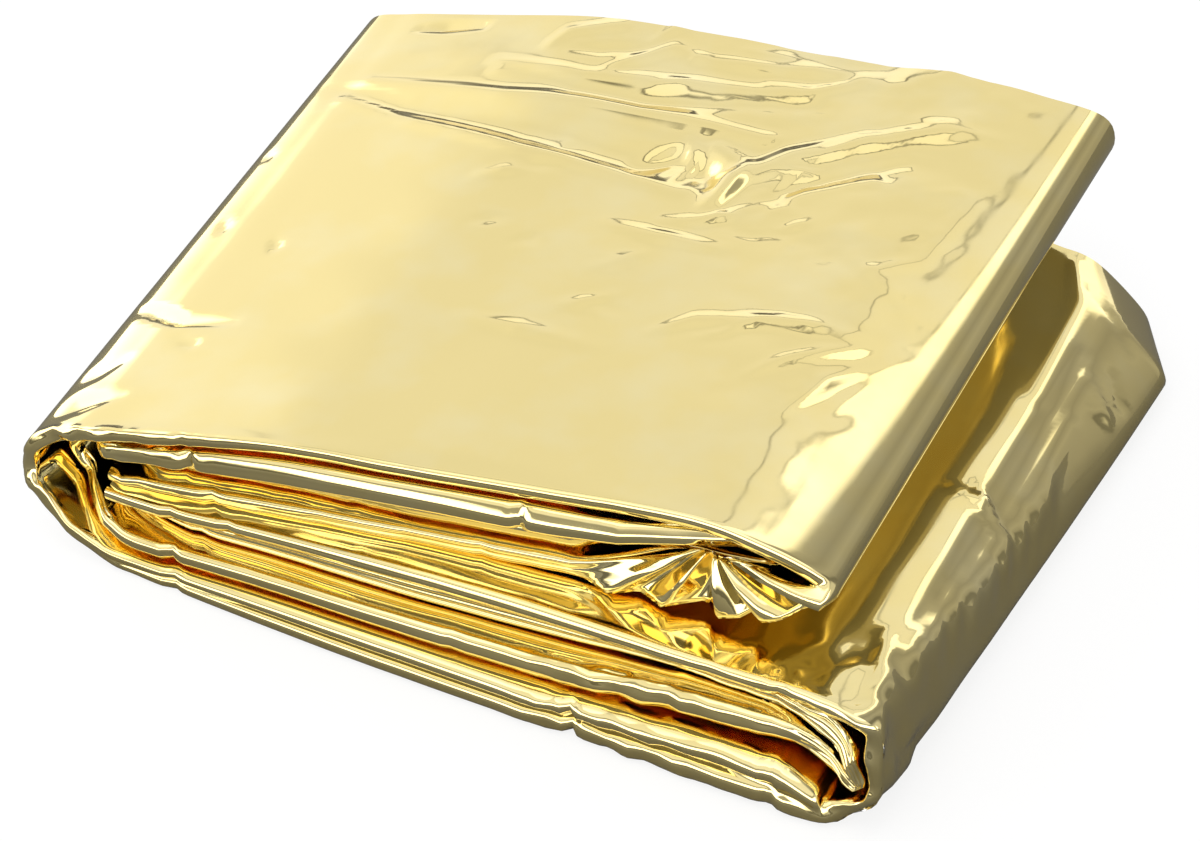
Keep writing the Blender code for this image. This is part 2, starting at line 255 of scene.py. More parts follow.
def curveThrough(points, places):
    # a smooth curve through the points, read at places counted in points
    last = len(points) - 1
    i = np.clip(np.floor(places).astype(int), 0, last - 1)
    t = (places - i).reshape((-1,) + (1,) * (points.ndim - 1))
    before, after = points[np.maximum(i - 1, 0)], points[np.minimum(i + 2, last)]
    start, end = points[i], points[i + 1]
    leave, arrive = (end - before) / 2, (after - start) / 2
    return (
        start * (2 * t**3 - 3 * t**2 + 1)
        + leave * (t**3 - 2 * t**2 + t)
        + end * (3 * t**2 - 2 * t**3)
        + arrive * (t**3 - t**2)
    )


def spreadPlaces(rows, starts):
    # places along the path, as close together as fineness asks
    trial = np.linspace(0, len(rows) - 1, 6000)
    line = curveThrough(rows[:, :2], trial)
    steps = np.linalg.norm(np.diff(line, axis=0), axis=1)
    centres = [start + (count - 1) / 2 for start, count in starts.values()]
    wanted = np.interp(trial[1:], centres, [fineness[name] for name in starts])
    passed = np.concatenate([[0], np.cumsum(steps * wanted)])
    return np.interp(np.linspace(0, passed[-1], int(passed[-1]) + 1), passed, trial)


def leftOf(line):
    along = np.gradient(line, axis=0)
    along /= np.linalg.norm(along, axis=1)[:, None]
    return np.stack([-along[:, 1], along[:, 0]], 1)


def distanceTo(line, points, places):
    # only to the part of the line within three places
    start, along = line[:-1], np.diff(line, axis=0)
    away = points[:, None] - start
    share = np.clip((away * along).sum(2) / (along**2).sum(1), 0, 1)
    far = np.linalg.norm(away - share[:, :, None] * along, axis=2)
    return np.where(np.abs(places[:, None] - places[None, :-1]) < 3, far, 1000).min(1)


def fitIn(pleats, outer, inner, places):
    nearest = np.minimum(distanceTo(outer, inner, places), distanceTo(inner, outer, places))
    room = nearest - blanket["snug"]
    pressed = np.minimum(room / pleats.sum(1), 1)
    return (pleats * pressed[:, None]).T[:, :, None]


class Strip:
    # the four layers' lines in front and at the back, at every row of the film
    def __init__(self):
        rows, self.starts = foldPath()
        self.places = spreadPlaces(rows, self.starts)
        values = curveThrough(rows, self.places)
        for i, name in enumerate(bendColumns):
            setattr(self, name, values[:, i])
        line = values[:, :2]
        steps = np.linalg.norm(np.diff(line, axis=0), axis=1)
        self.walked = np.concatenate([[0], np.cumsum(steps)])
        self.turned = self.turnedShare()
        self.lines = {"Front": self.layerLines("Front"), "Back": self.layerLines("Back")}
        self.x = self.lines["Front"][0][:, 0]
        self.closing = self.closeUp()
        self.closingBack = self.closeUpBehind()

    def within(self, name):
        start, count = self.starts[name]
        return (self.places - start) / (count - 1)

    def shareBack(self, y):
        # how far from the front lines to the back ones: sooner at the lower right end
        share = y / blanket["stripWidth"]
        inBend = np.sin(pi * np.clip(self.within("lowerRight") * 1.15 - 0.12, 0, 1)) ** 0.7
        sooner = (blanket["slopeSooner"] * inBend)[:, None]
        return np.where(share > 0, (1 + sooner) * share / (1 + sooner * np.abs(share)), share)

    def closeUp(self):
        # how far each layer moves to lie against the next one
        first, second, third, fourth = self.lines["Front"]
        between = third - second
        apart = np.linalg.norm(between, axis=1)[:, None]
        nearly = np.clip((apart - 0.08) / 2, 0, 0.45) * between / apart
        straight = np.ones(len(self.places))
        for name in ("upperRight", "left", "lowerRight"):
            inside = np.abs(self.within(name) - 0.5)
            straight *= smoothStep(inside, 0.38, 0.55)
        straight = straight[:, None]
        restStart = self.starts["rest"][0]
        covered = 1 - smoothStep(self.places, 3, 4) + smoothStep(self.places, restStart, restStart + 1)
        return [
            -leftOf(first) * 0.24 * covered[:, None],
            nearly,
            -nearly,
            leftOf(fourth) * 0.19 * straight,
        ]

    def closeUpBehind(self):
        # behind, the two middle layers spread out to the outer ones
        first, second, third, fourth = self.lines["Back"]
        moves = []
        for start, end in ((second, first), (third, fourth)):
            between = end - start
            apart = np.linalg.norm(between, axis=1)[:, None]
            moves.append(between * np.clip(1 - 0.35 / apart, 0, 1))
        return [0 * first, moves[0], moves[1], 0 * first]

    def turnedShare(self):
        start, count = self.starts["left"]
        return 1 - smoothStep((self.places - start - 1) / (count - 2))

    def layerLines(self, side):
        outer, inner = (
            np.stack([getattr(self, which + side + axis) for axis in "XZ"], 1)
            for which in ("outer", "inner")
        )
        if side == "Back":
            shift = blanket["stripWidth"] * sin(blanket["turned"]) * self.turned
            outer[:, 0] -= shift
            inner[:, 0] -= shift
        pleats = np.stack([self.outerPleat, self.innerPleat], 1)
        fitted = fitIn(pleats, outer, inner, self.places)
        wrap = blanket["drawnLayer"]
        return [
            outer - leftOf(outer) * wrap,
            outer + leftOf(outer) * (fitted[0] + wrap),
            inner - leftOf(inner) * (fitted[1] + wrap),
            inner + leftOf(inner) * wrap,
        ]


def flatLayer(strip, layer, yStart, yEnd, shares, yEdge=None):
    y = mixed(yStart[:, None], yEnd[:, None], shares[None, :])
    across = strip.shareBack(y)[:, :, None]
    line = mixed(strip.lines["Front"][layer][:, None], strip.lines["Back"][layer][:, None], across)
    if yEdge is not None:
        # behind its turned edge it closes up to the layer that it lies against
        within = mixed(*blanket["closesIn"], (kinked(strip.walked, 13, 15 + layer // 2) + 1) / 2)
        closing = smoothStep((y - yEdge[:, None]) / within[:, None])[:, :, None]
        line = line + closing * strip.closing[layer][:, None]
    behind = smoothStep(y, blanket["stripWidth"] - 9, blanket["stripWidth"] - 2)[:, :, None]
    line = line + behind * strip.closingBack[layer][:, None]
    return np.concatenate([line[:, :, :1], y[:, :, None], line[:, :, 1:]], 2)


def roundNose(t, square=1.0):
    # a flattened tube: across and out, as shares of its width
    c, sn = np.cos(pi * t), np.sin(pi * t)
    return (1 - np.sign(c) * np.abs(c) ** square) / 2, np.abs(sn) ** square / 2


def lobedNose(t, lobes):
    lobe = np.minimum(np.floor(t * lobes), lobes - 1)
    across, out = roundNose(t * lobes - lobe)
    return (lobe + across) / lobes, out / lobes


def turnedEdge(start, end, out, count, depth=0.6, two=0.0, four=0.0, tilt=0.0):
    # carries one layer round to the next: a flattened tube, or two or four small ones.
    # tilt leans its face back at the start, or at the end where it is less than 0
    t = np.linspace(0, 1, count + 2)[1:-1]
    shapes = [roundNose(t), lobedNose(t, 2), lobedNose(t, 4)]
    depth, two, four, tilt = (
        np.broadcast_to(np.asarray(v, float), (len(start),))[:, None]
        for v in (depth, two, four, tilt)
    )
    one = 1 - two - four
    across = one * shapes[0][0] + two * shapes[1][0] + four * shapes[2][0]
    outwards = depth * (one * shapes[0][1] + 1.4 * (two * shapes[1][1] + four * shapes[2][1]))
    width = np.linalg.norm(end - start, axis=1)[:, None]
    outwards += 0.012 * np.sin(pi * t) ** 0.5 * np.sin(5 * pi * across + 1.0)
    outwards = outwards * width + tilt * (across - 0.5) * np.sin(pi * t) ** 0.5
    points = start[:, None] + (end - start)[:, None] * across[:, :, None]
    points[:, :, 1] += out * outwards
    return points


def along(strip, table):
    # reads a value for every row from (place on the path, value) pairs
    places, values = zip(*table)
    return np.interp(strip.places, places, values)


def nips(strip, table):
    # short dents in a turned edge: stretch, x, depth, half width
    depth = np.zeros(len(strip.places))
    for name, x, deep, half in table:
        start, count = strip.starts[name]
        inside = (strip.places > start - 1) & (strip.places < start + count)
        depth += inside * deep * np.exp(-(((strip.x - x) / half) ** 2))
    return depth


# Where the end of a fold is drawn together into a pinch, as a fan of small pleats.
# from: places where it begins and is full, and where it is full and ends again.
# folds: (place, how far forward), the fan's fingers and the hollows between them
gathers = {
    "upper": {
        "from": (4.2, 5.0, 8.8, 9.8),
        "pinch": ((75.4, 0.6, 26.6), (80.0, 0.8, 25.4)),
        "forward": 2.8,
        "folds": ((4.2, 0.0), (4.75, 1.6), (5.15, -2.2), (5.6, 1.5), (6.15, -3.2), (6.5, 1.9),
                  (6.85, 0.6), (7.0, -2.6), (7.3, 1.7), (7.6, 1.0), (7.95, -3.2), (8.5, -2.4),
                  (8.75, 1.2), (9.1, 0.4), (9.8, 0.0)),
        "crush": 0.35,
        "seed": 51,
    },
}


def crumple(strip, edge, seed):
    # crushed flat places on a turned edge
    much = along(strip, blanket["crumple"])[:, None]
    a, b = edge[:, :, 0] + 0.5 * edge[:, :, 2], edge[:, :, 2] - 0.3 * edge[:, :, 0]
    edge[:, :, 1] += much * facets(a, b, 3.3, seed)
    edge[:, :, 2] += 0.5 * much * facets(a, b, 2.6, seed + 5)


def gatherShare(strip, gather):
    begin, full, fullEnd, end = gather["from"]
    return smoothStep(strip.places, begin, full) * (1 - smoothStep(strip.places, fullEnd, end))


def gatherUp(strip, edge, rim, inside, gather):
    begin, full, fullEnd, end = gather["from"]
    share = gatherShare(strip, gather)
    span = np.clip((strip.places - begin) / (end - begin), 0, 1)
    start, finish = (np.array(p) for p in gather["pinch"])
    pinch = mixed(start, finish, span[:, None])
    count = edge.shape[1]
    t = np.arange(1, count + 1) / (count + 1)
    turnBack = 0.72
    toPinch = np.clip(t / turnBack, 0, 1)[None, :, None]
    goIn = np.clip((t - turnBack) / (1 - turnBack), 0, 1)[None, :, None]
    fan = mixed(rim[:, None], pinch[:, None], toPinch)
    fan = mixed(fan, inside[:, None], goIn)
    wide = np.sin(pi * np.clip(toPinch[:, :, 0] * 0.92 + 0.08, 0, 1)) ** 0.6
    fold = np.interp(strip.places, *zip(*gather["folds"]))
    crush = facets(fan[:, :, 0], fan[:, :, 2], 3.0, gather["seed"])
    push = gather["forward"] * (1 - toPinch[:, :, 0]) + wide * (
        fold[:, None] + gather["crush"] * crush
    )
    fan[:, :, 1] -= push
    edge += (fan - edge) * share[:, None, None]


def stripSections(strip):
    width = blanket["stripWidth"]
    walk = strip.walked
    outerFront = strip.outerIn + 0.4
    innerFront = strip.innerIn + 0.4 + along(strip, blanket["innerHidden"])
    # the turned edges waver, and are nipped here and there
    outerFront += 0.14 * wave(walk, 30, 11) + 0.03 * kinked(walk, 3.4, 12)
    innerFront += 0.16 * wave(walk, 26, 13) + 0.03 * kinked(walk, 2.9, 14)
    outerFront += nips(strip, blanket["outerNips"])
    innerFront += nips(strip, blanket["innerNips"])
    turnedBack = np.full(len(walk), width - 0.9)
    back = width - 0.5 - 0.4 * np.sin(strip.places * 1.3)
    even = np.linspace(0, 1, acrossPoints["top"])
    edge = np.linspace(0, 1, acrossPoints["edge"]) ** 1.6
    hidden = np.linspace(0, 1, acrossPoints["hidden"] + 1)[1:]
    deepIn = np.full(len(walk), blanket["deepIn"])
    insideFront = outerFront + 4.5 * sum(gatherShare(strip, g) for g in gathers.values())
    layers = [
        flatLayer(strip, 0, back, outerFront, even, outerFront),
        np.concatenate([
            flatLayer(strip, 1, insideFront, deepIn, edge, insideFront),
            flatLayer(strip, 1, deepIn, turnedBack, hidden, insideFront),
        ], 1),
        np.concatenate([
            flatLayer(strip, 2, turnedBack, deepIn, 1 - hidden[::-1], innerFront),
            flatLayer(strip, 2, deepIn, innerFront, 1 - edge[::-1], innerFront),
        ], 1),
        np.concatenate([
            flatLayer(strip, 3, innerFront, deepIn, edge, innerFront),
            flatLayer(strip, 3, deepIn, back - 0.8, hidden, innerFront),
        ], 1),
    ]
    turn = acrossPoints["turn"]
    outerShape = [
        along(strip, blanket[name]) for name in ("outerTwo", "outerFour", "outerTilt")
    ]
    innerShape = [
        along(strip, blanket[name]) for name in ("innerTwo", "innerFour", "innerTilt")
    ]
    outerShape[2] += 0.3 * wave(walk, 24, 21)
    innerShape[2] += 0.3 * wave(walk, 20, 22)
    outerEdge = turnedEdge(layers[0][:, -1], layers[1][:, 0], -1, turn, 0.95, *outerShape)
    innerEdge = turnedEdge(layers[2][:, -1], layers[3][:, 0], -1, turn, 0.95, *innerShape)
    crumple(strip, outerEdge, 91)
    crumple(strip, innerEdge, 92)
    for gather in gathers.values():
        gatherUp(strip, outerEdge, layers[0][:, -1], layers[1][:, 0], gather)
    behind = acrossPoints["turnBehind"]
    backEdge = turnedEdge(layers[1][:, -1], layers[2][:, 0], 1, behind, 0.7, 0.0, 0.8)
    return np.concatenate([
        layers[0], outerEdge, layers[1], backEdge, layers[2], innerEdge, layers[3],
    ], 1)


# Wrinkles of the sheet on top, each along a line of places: x, y, half width, height.
wrinkles = {
    "trough": ((-10, 83, 2, -0.1), (4, 77, 3.5, -0.5), (24, 73.5, 5.5, -0.9), (46, 71, 5, -0.7)),
    "troughLow": ((-6, 79, 1.5, 0.1), (7, 73.6, 2, 0.3), (24, 68.8, 2, 0.35), (47, 65.6, 2, 0.2)),
    "troughTop": ((-4, 83.5, 2, 0.2), (16, 80.8, 2.5, 0.5), (41, 81, 3, 0.6), (53, 80.5, 2.5, 0.5)),
    "second": ((13, 87, 1.5, 0.2), (25, 84, 2.5, -0.35), (35, 84, 3, -0.45), (57, 89.5, 2, -0.2)),
    "secondTop": ((12, 89.5, 1.5, 0.15), (25, 87.5, 2.2, 0.35), (40, 89.5, 2.5, 0.4),
                  (54, 91.5, 2, 0.3)),
    "dimple": ((40, 70, 2.5, -0.4), (44, 74.5, 2.5, -0.6), (48, 72, 2.8, -0.7), (49.5, 68, 2, -0.5)),
    "dimpleRim": ((48, 77, 2, 0.35), (52.5, 74, 2, 0.45), (52.5, 67, 2, 0.4)),
    "dimpleFold": ((44, 78, 1.5, 0.2), (46, 73, 1.6, 0.5), (45.5, 68.5, 1.3, 0.2)),
    "clusterTop": ((17.5, 94.3, 1.5, 0.2), (19, 97.5, 2, 0.35), (25, 100, 2, 0.3)),
    "clusterLow": ((20.5, 93.5, 1.2, -0.15), (25, 94, 2, -0.35), (30, 95.5, 1.5, -0.2)),
    "longA": ((27.5, 90, 1.5, 0.2), (31, 93.5, 2, 0.35), (34, 97, 2, 0.3), (38, 96, 1.5, 0.2)),
    "longB": ((38, 95.5, 2, 0.3), (46, 96.2, 2.2, 0.4), (55, 98.2, 2, 0.35), (62, 98.6, 1.5, 0.1)),
    "lensFar": ((43, 99.4, 1.2, 0.1), (48, 99.6, 1.6, 0.25), (53.5, 99, 1.2, 0.1)),
    "hookFar": ((48.8, 92.6, 1.5, 0.2), (55, 93, 2, 0.35), (59.7, 97, 1.8, 0.3), (66, 97, 1.5, 0.1)),
    "curved": ((51.5, 62.5, 2, 0.3), (52.5, 70, 3, 0.7), (58, 77.5, 3.4, 0.8), (66, 83.5, 3.2, 0.75),
               (76, 88.5, 2.8, 0.5), (84, 89.5, 2, 0.2)),
    "curvedLow": ((58, 65.5, 2, -0.2), (60.5, 72, 2.4, -0.5), (67, 76.5, 2.2, -0.4),
                  (72, 80, 1.8, -0.3)),
    "eye": ((67, 73, 1.2, 0.15), (70, 74.5, 1.7, 0.35), (73, 75.5, 1.2, 0.15)),
    "lensThree": ((47.5, 58.5, 1.5, 0.15), (52.4, 60, 2, 0.4), (58.4, 66, 1.5, 0.2)),
    "lensOne": ((41, 55.8, 1.3, 0.1), (49, 54.6, 2.4, 0.5), (58, 54.6, 1.3, 0.1)),
    "bracket": ((74.6, 73, 1.2, 0.1), (80.7, 76.6, 1.6, 0.3), (83.5, 75.5, 1.2, 0.2)),
    "border": ((85.2, 83, 1.6, 0.3), (82.5, 72, 2, 0.4), (81.5, 60.5, 2, 0.45), (76.4, 55.6, 1.6, 0.2)),
    "starOne": ((74, 57, 1.5, 0.15), (81, 52.5, 2, 0.4), (86.9, 45.4, 1.2, 0.5)),
    "starTwo": ((87, 58.5, 1.2, 0.2), (89, 53, 1.5, 0.45), (87.4, 45.4, 1.0, 0.5)),
    "starThree": ((79, 42.4, 1.5, 0.15), (84, 43.5, 1.8, 0.4), (87.3, 45, 1.0, 0.5)),
    "starPit": ((85.6, 47, 0.9, -0.5), (87.2, 45, 1.1, -1.1), (86.2, 42.4, 0.9, -0.6)),
    "lensTwo": ((55.6, 34.5, 1.3, 0.1), (60, 38.6, 2, 0.35), (70, 41, 2.4, 0.5), (80.5, 41.6, 1.5, 0.2)),
    "loopOne": ((70, 29, 1.3, 0.1), (74, 34, 1.8, 0.35), (82, 41, 1.5, 0.3)),
    "loopTwo": ((76.7, 23.6, 1.3, 0.1), (79.7, 32.5, 2, 0.4), (86, 40.5, 1.5, 0.35)),
    "loopThree": ((82, 27, 1.3, 0.1), (85, 37, 2, 0.45), (87.3, 43.6, 1.2, 0.4)),
    "farRipples": ((87, 96, 1.6, 0.2), (86.3, 91, 1.8, -0.25), (87.4, 84, 1.8, 0.25)),
    "streak": ((30, 31.4, 1.6, 0.0), (40, 30.6, 2.4, 0.34), (53, 29, 1.6, 0.0)),
    "dash": ((23.7, 51.6, 1.0, 0.0), (26.5, 52.4, 1.5, -0.26), (29.5, 53, 1.0, 0.0)),
    "slit": ((-15, 30.6, 1.0, -0.3), (-9, 28, 1.4, -1.2), (-3.7, 25.6, 1.3, -1.1),
             (3.8, 25.7, 1.0, -0.2)),
    "markOne": ((-11, 67, 0.7, -0.1), (-10.2, 65, 1.0, -0.5)),
    "markTwo": ((-9.4, 50, 0.7, -0.1), (-8.2, 47.4, 1.0, -0.5)),
    "markThree": ((0, 45, 0.7, -0.1), (1.4, 43, 1.0, -0.4)),
    "markFour": ((-2.4, 21.6, 0.7, -0.1), (0.6, 20.4, 1.0, -0.4)),
    "farMark": ((-3, 97.6, 0.9, -0.3), (1, 98, 1.2, -0.8), (6, 98.4, 0.9, -0.5)),
    "cornerPatch": ((-13, 4, 3.0, -0.6), (-9, 7, 3.2, -0.9), (-4, 9, 1.5, -0.2)),
    "cornerPatchFar": ((-13, 11, 2.5, -0.5), (-10, 14, 2.5, -0.8), (-7.5, 17, 1.5, -0.2)),
}


# Small creases in between: how many, their length and half width, and how high they
# are. There are more of them towards the far right corner.
smallCreases = {"count": 34, "length": (4, 13), "halfWidth": (1.0, 1.9), "height": 0.34, "seed": 64}


def smallLift(x, y):
    random = np.random.default_rng(smallCreases["seed"])
    lift = np.zeros_like(x)
    for _ in range(smallCreases["count"]):
        xMid, yMid = 86 - 62 * random.random() ** 1.5, 99 - 66 * random.random() ** 1.4
        length = random.uniform(*smallCreases["length"])
        half = random.uniform(*smallCreases["halfWidth"])
        high = smallCreases["height"] * random.choice((-0.8, 1.0)) * random.uniform(0.6, 1.0)
        turn = random.normal(0.25, 0.4)
        dx, dy, bow = cos(turn) * length / 2, sin(turn) * length / 2, random.normal(0, 1.2)
        lift += strokeLift(x, y, (
            (xMid - dx, yMid - dy, half * 0.6, 0.0), (xMid, yMid + bow, half, high),
            (xMid + dx, yMid + dy, half * 0.6, 0.0),
        ))
    return lift


# Creases of the slope at the lower half's right end, in the same way.
slopeCreases = {
    "star": ((91.0, 46.6, 1.0, 0.3), (95.0, 46.3, 1.5, 0.7), (99.0, 43.6, 1.2, 0.4)),
    "starRay": ((93.0, 50.0, 0.8, 0.2), (95.4, 46.0, 1.3, 0.6), (100.0, 40.5, 1.0, 0.3)),
    "slit": ((90.5, 94.8, 0.8, -0.2), (94.0, 91.8, 1.0, -0.6), (97.7, 88.7, 0.8, -0.2)),
    "triangle": ((95.8, 78.6, 0.8, 0.3), (99.4, 75.8, 1.2, 0.5), (98.1, 74.5, 0.8, 0.3)),
    "curl": ((97.4, 82.9, 0.7, -0.3), (99.9, 79.5, 1.0, -0.4)),
    "farRidge": ((88.0, 99.0, 2.0, 0.3), (90.0, 88.0, 2.5, 0.3), (92.5, 70.0, 2.5, 0.2)),
    "longFold": ((93.5, 82.0, 1.6, -0.2), (95.5, 62.0, 2.2, -0.5), (97.0, 40.0, 2.0, -0.4),
                 (98.5, 20.0, 1.6, -0.3)),
    "secondFold": ((97.0, 70.0, 1.4, 0.2), (99.0, 52.0, 2.0, 0.45), (100.5, 30.0, 1.6, 0.3)),
    "nearFold": ((96.0, 16.0, 1.6, 0.3), (99.0, 9.0, 2.0, 0.6), (100.5, 3.0, 1.6, 0.4)),
}


def slopeLift(x, y):
    lift = 0.10 * facets(x * 1.6, y * 0.5, 12, 71)
    for crease in slopeCreases.values():
        lift += strokeLift(x, y, crease)
    # short feathery pleats low on the slope
    for i in range(11):
        yMid = 15 + 4.0 * i + 1.2 * sin(5.1 * i)
        length = 2.6 + 2.0 * abs(sin(2.3 * i))
        feather = ((98.2, yMid + length, 1.1, 0.0), (99.6, yMid, 1.4, 0.5),
                   (101.2, yMid - length, 1.0, 0.1))
        lift += strokeLift(x, y, feather)
    return lift


def strokeLift(x, y, stroke):
    # the tallest of the stroke's parts at each place
    found = np.zeros_like(x)
    for (x0, y0, w0, h0), (x1, y1, w1, h1) in zip(stroke, stroke[1:]):
        dx, dy = x1 - x0, y1 - y0
        share = np.clip(((x - x0) * dx + (y - y0) * dy) / (dx * dx + dy * dy), 0, 1)
        far = np.hypot(x - x0 - share * dx, y - y0 - share * dy) / mixed(w0, w1, share)
        lift = mixed(h0, h1, share) * np.clip(1 - far**2, 0, 1) ** 2
        found = np.where(np.abs(lift) > np.abs(found), lift, found)
    return found


def topLift(x, y):
    lift = 0.35 * swell(x, y, 24, 31) + 0.10 * swell(x, y, 10, 32)
    busy = smoothStep(x + 0.35 * y, 62, 96)
    lift += busy * (0.27 * facets(x * 0.7, y, 6.5, 41) + 0.11 * facets(x * 0.8, y, 3.2, 42))
    for stroke in wrinkles.values():
        lift += strokeLift(x, y, stroke)
    return lift + smallLift(x, y)


def buildBlanket():
    strip = Strip()
    sheet = stripSections(strip)
    y = sheet[:, :, 1]
    # the sheet on top is wrinkled
    top = slice(0, acrossPoints["top"])
    onTop = smoothStep(strip.places, 10.5, 12) * (1 - smoothStep(strip.places, 16.5, 18.5))
    x = sheet[:, top, 0] + y[:, top] * sin(blanket["turned"])
    sheet[:, top, 2] += topLift(x, y[:, top]) * onTop[:, None] * smoothStep(y[:, top], 0.5, 4)
    # the slope on the right is creased, across the sheet
    onSlope = smoothStep(strip.places, 31, 32) * (1 - smoothStep(strip.places, 37.2, 38.5))
    across = strip.shareBack(y[:, top])[:, :, None]
    out = -mixed(*(leftOf(strip.lines[side][0])[:, None] for side in ("Front", "Back")), across)
    lift = slopeLift(sheet[:, top, 0], y[:, top]) * smoothStep(y[:, top], 0.5, 4)
    lift += 0.05 * swell(strip.walked[:, None], y[:, top], 9, 81) * smoothStep(y[:, top], 0.5, 4)
    nearFront = smoothStep(y[:, top], 0.3, 2) * (1 - smoothStep(y[:, top], 8, 18))
    atWall = smoothStep(strip.places, 30.5, 31.5) * (1 - smoothStep(strip.places, 35, 36.5))
    onWall = atWall[:, None] * nearFront
    lift *= onSlope[:, None]
    lift += 0.5 * onWall * facets(strip.walked[:, None], y[:, top] * 0.7, 3.6, 73)
    lift = np.where(sheet[:, top, 2] < 0.6, 0, lift)
    sheet[:, top, 0] += lift * out[:, :, 0]
    sheet[:, top, 2] += lift * out[:, :, 1]
    # the right end bellies out, and its far corner is cut off
    inEnd = np.clip(strip.within("lowerRight"), 0, 1)
    belly = blanket["belly"] * np.sin(pi * inEnd)[:, None]
    sheet[:, :, 0] += belly * np.sin(pi * np.clip(y / blanket["stripWidth"], 0, 1))
    slopeEnd = np.sin(pi * np.clip(inEnd * 1.15 - 0.12, 0, 1))[:, None]
    sheet[:, :, 0] -= blanket["chamfer"] * slopeEnd * np.clip(y - 91, 0, None)
    turned = strip.turned[:, None]
    slant = sin(blanket["turned"]) * turned
    sheet[:, :, 1] += (sheet[:, :, 0] - blanket["turnedAbout"]) * slant
    sheet[:, :, 1] += blanket["upperBack"] * turned
    return filmPiece(sheet)


def filmPiece(sheet):
    rowCount, pointCount = sheet.shape[:2]
    faceCount = (rowCount - 1) * (pointCount - 1)
    print("blanket:", rowCount, "rows of", pointCount, "points,", 2 * faceCount, "triangles")
    bm = bmesh.new()
    bmesh.ops.create_grid(bm, x_segments=pointCount - 1, y_segments=rowCount - 1, size=1)
    for vert, place in zip(bm.verts, (sheet.reshape(-1, 3) - blanket["middle"]) * mm):
        vert.co = place
    bmesh.ops.reverse_faces(bm, faces=bm.faces)
    mesh = bpy.data.meshes.new("foilBlanket")
    bm.to_mesh(mesh)
    bm.free()
    mesh.shade_smooth()
    piece = bpy.data.objects.new("foilBlanket", mesh)
    bpy.context.scene.collection.objects.link(piece)
    mesh.materials.append(goldFilm())
    return piece


film = {
    "gold": (0.88, 0.73, 0.325, 1),
    "paleGold": (0.88, 0.76, 0.40, 1),      # where the lacquer is thinner
    "silver": (0.86, 0.86, 0.85, 1),        # the reverse
    "roughness": (0.045, 0.11),
    "crinkle": 0.000012,                    # m, depth of the finest crinkles
}


def goldFilm():
    material = bpy.data.materials.new("goldFilm")
    material.use_nodes = True
    nodes, links = material.node_tree.nodes, material.node_tree.links
    shader = nodes["Principled BSDF"]
    shader.inputs["Metallic"].default_value = 1.0
    place = nodes.new("ShaderNodeTexCoord")

    def noise(size, detail):
        node = nodes.new("ShaderNodeTexNoise")
        node.inputs["Scale"].default_value = 1 / size
        node.inputs["Detail"].default_value = detail
        links.new(place.outputs["Object"], node.inputs["Vector"])
        return node.outputs["Fac"]

    def spread(value, low, high, start, end):
        node = nodes.new("ShaderNodeMapRange")
        for name, number in zip(("From Min", "From Max", "To Min", "To Max"), (low, high, start, end)):
            node.inputs[name].default_value = number
        links.new(value, node.inputs["Value"])
        return node.outputs["Result"]

    lacquer = nodes.new("ShaderNodeMix")
    lacquer.data_type = "RGBA"
    lacquer.inputs["A"].default_value = film["gold"]
    lacquer.inputs["B"].default_value = film["paleGold"]
    links.new(spread(noise(0.012, 3), 0.45, 0.75, 0, 1), lacquer.inputs["Factor"])
    side = nodes.new("ShaderNodeNewGeometry")
    colour = nodes.new("ShaderNodeMix")
    colour.data_type = "RGBA"
    colour.inputs["B"].default_value = film["silver"]
    links.new(side.outputs["Backfacing"], colour.inputs["Factor"])
    links.new(lacquer.outputs["Result"], colour.inputs["A"])
    links.new(colour.outputs["Result"], shader.inputs["Base Color"])
    links.new(spread(noise(0.004, 4), 0.35, 0.7, *film["roughness"]), shader.inputs["Roughness"])

    # the finest crinkles: soft ripples, drawn out along the strip, and sharper kinks
    stretched = nodes.new("ShaderNodeMapping")
    stretched.inputs["Scale"].default_value = (0.35, 1, 1)
    links.new(place.outputs["Object"], stretched.inputs["Vector"])
    kinks = nodes.new("ShaderNodeTexNoise")
    kinks.noise_type = "RIDGED_MULTIFRACTAL"
    kinks.inputs["Scale"].default_value = 1 / 0.009
    kinks.inputs["Detail"].default_value = 1
    links.new(stretched.outputs["Vector"], kinks.inputs["Vector"])
    height = nodes.new("ShaderNodeMath")
    height.operation = "MULTIPLY_ADD"
    height.inputs[1].default_value = 0.35
    links.new(kinks.outputs["Fac"], height.inputs[0])
    links.new(noise(0.005, 1), height.inputs[2])
    bump = nodes.new("ShaderNodeBump")
    bump.inputs["Strength"].default_value = 1.0
    bump.inputs["Distance"].default_value = film["crinkle"]
    links.new(height.outputs["Value"], bump.inputs["Height"])
    links.new(bump.outputs["Normal"], shader.inputs["Normal"])
    return material


